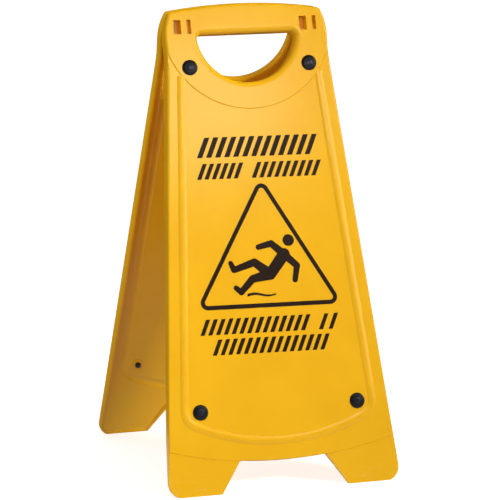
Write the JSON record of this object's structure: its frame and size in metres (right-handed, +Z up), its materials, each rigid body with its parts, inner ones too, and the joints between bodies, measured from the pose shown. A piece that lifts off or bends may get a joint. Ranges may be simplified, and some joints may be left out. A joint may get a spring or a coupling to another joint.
{
  "type": "folding wet floor sign",
  "caption": "Yellow A-frame floor warning sign: two moulded leaves hinged at a hand grip, with black push rivets and a printed slip symbol.",
  "frame": {"origin": "on the floor, at the middle of the four feet of the open sign", "axes": "+Z up, +X along the hinge, -Y towards the front leaf"},
  "size_m": [0.32, 0.37, 0.626],
  "materials": {
    "leaf_yellow": "satin moulded polypropylene, fine spark texture",
    "rivet_black": "satin black nylon",
    "rivet_centre": "polished black nylon",
    "pin_nylon": "natural nylon rod",
    "print_black": "screen-printed black ink"
  },
  "bodies": {
    "front_leg": {"front_leaf": "leaf_yellow", "front_rivet_body_upper_left": "rivet_black", "front_rivet_body_upper_right": "rivet_black", "front_rivet_body_lower_left": "rivet_black", "front_rivet_body_lower_right": "rivet_black", "front_rivet_pin_upper_left": "rivet_centre", "front_rivet_pin_upper_right": "rivet_centre", "front_rivet_pin_lower_left": "rivet_centre", "front_rivet_pin_lower_right": "rivet_centre", "hinge_pin_left": "pin_nylon"},
    "rear_leg": {"rear_leaf": "leaf_yellow", "rear_rivet_body_upper_left": "rivet_black", "rear_rivet_body_upper_right": "rivet_black", "rear_rivet_body_lower_left": "rivet_black", "rear_rivet_body_lower_right": "rivet_black", "rear_rivet_pin_upper_left": "rivet_centre", "rear_rivet_pin_upper_right": "rivet_centre", "rear_rivet_pin_lower_left": "rivet_centre", "rear_rivet_pin_lower_right": "rivet_centre", "hinge_pin_right": "pin_nylon"}
  },
  "joints": [
    {"name": "fold", "type": "hinge", "parent": "front_leg", "child": "rear_leg", "pos_m": [0, 0, 0.59437], "axis": [-1, 0, 0], "range_deg": [0, 31.5]}
  ]
}
